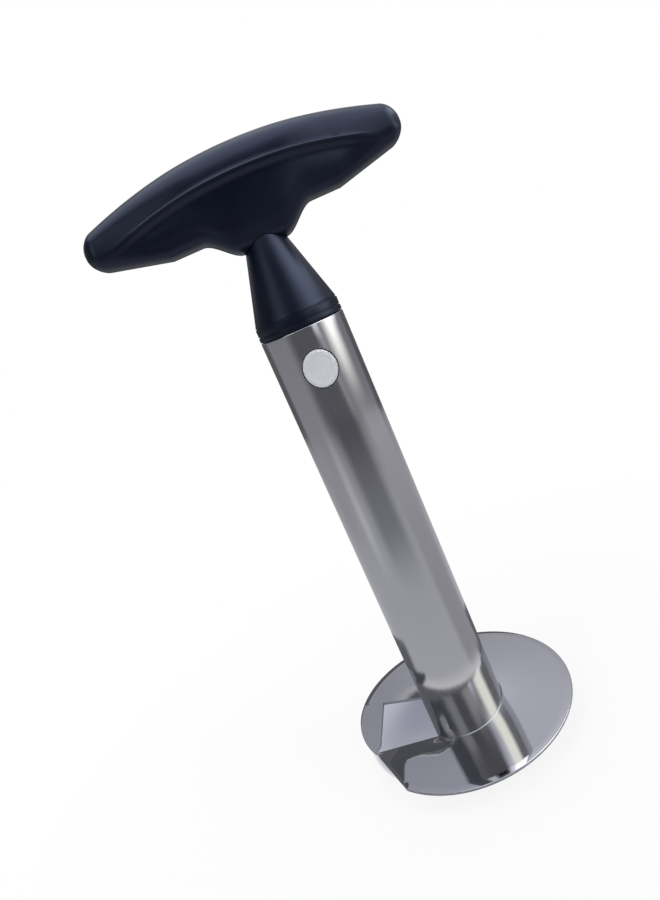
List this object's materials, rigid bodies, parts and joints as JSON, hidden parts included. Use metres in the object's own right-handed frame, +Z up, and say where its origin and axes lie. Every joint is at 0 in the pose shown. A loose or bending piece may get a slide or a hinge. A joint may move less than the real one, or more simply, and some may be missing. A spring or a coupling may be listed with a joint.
{
  "type": "pineapple slicer",
  "caption": "Hand-turned corer and slicer: a spiral steel blade on a saw-toothed coring tube, under a T-shaped grip with a conical neck and an oval release button.",
  "frame": {"origin": "centre of the circle of tooth tips, on which the slicer stands", "axes": "+Z up the coring tube's axis to the grip, +X along the grip, -Y towards the release button"},
  "size_m": [0.1104, 0.0832, 0.2316],
  "materials": {
    "tube_steel": "satin",
    "blade_steel": "mirror polished",
    "black_plastic": "satin",
    "cap_plastic": "matt",
    "grey_plastic": "satin",
    "spring_steel": "drawn wire",
    "screw_steel": "plated"
  },
  "bodies": {
    "slicer": {"shaft_tube": "tube_steel", "spiral_blade": "blade_steel", "neck_spigot": "black_plastic", "plug_cap": "cap_plastic", "button_spring": "spring_steel", "grip_front": "black_plastic", "grip_rear": "black_plastic", "grip_screw_left": "screw_steel", "grip_screw_right": "screw_steel", "grip_screw_lower": "screw_steel", "grip_screw_upper": "screw_steel"},
    "button": {"release_button": "grey_plastic"}
  },
  "joints": [
    {"name": "button_press", "type": "slide", "parent": "slicer", "child": "button", "axis": [0, 1, 0], "range_m": [0, 0.003], "stiffness_N_per_m": 600, "springref_m": -0.002, "deforming": ["button_spring"]}
  ]
}
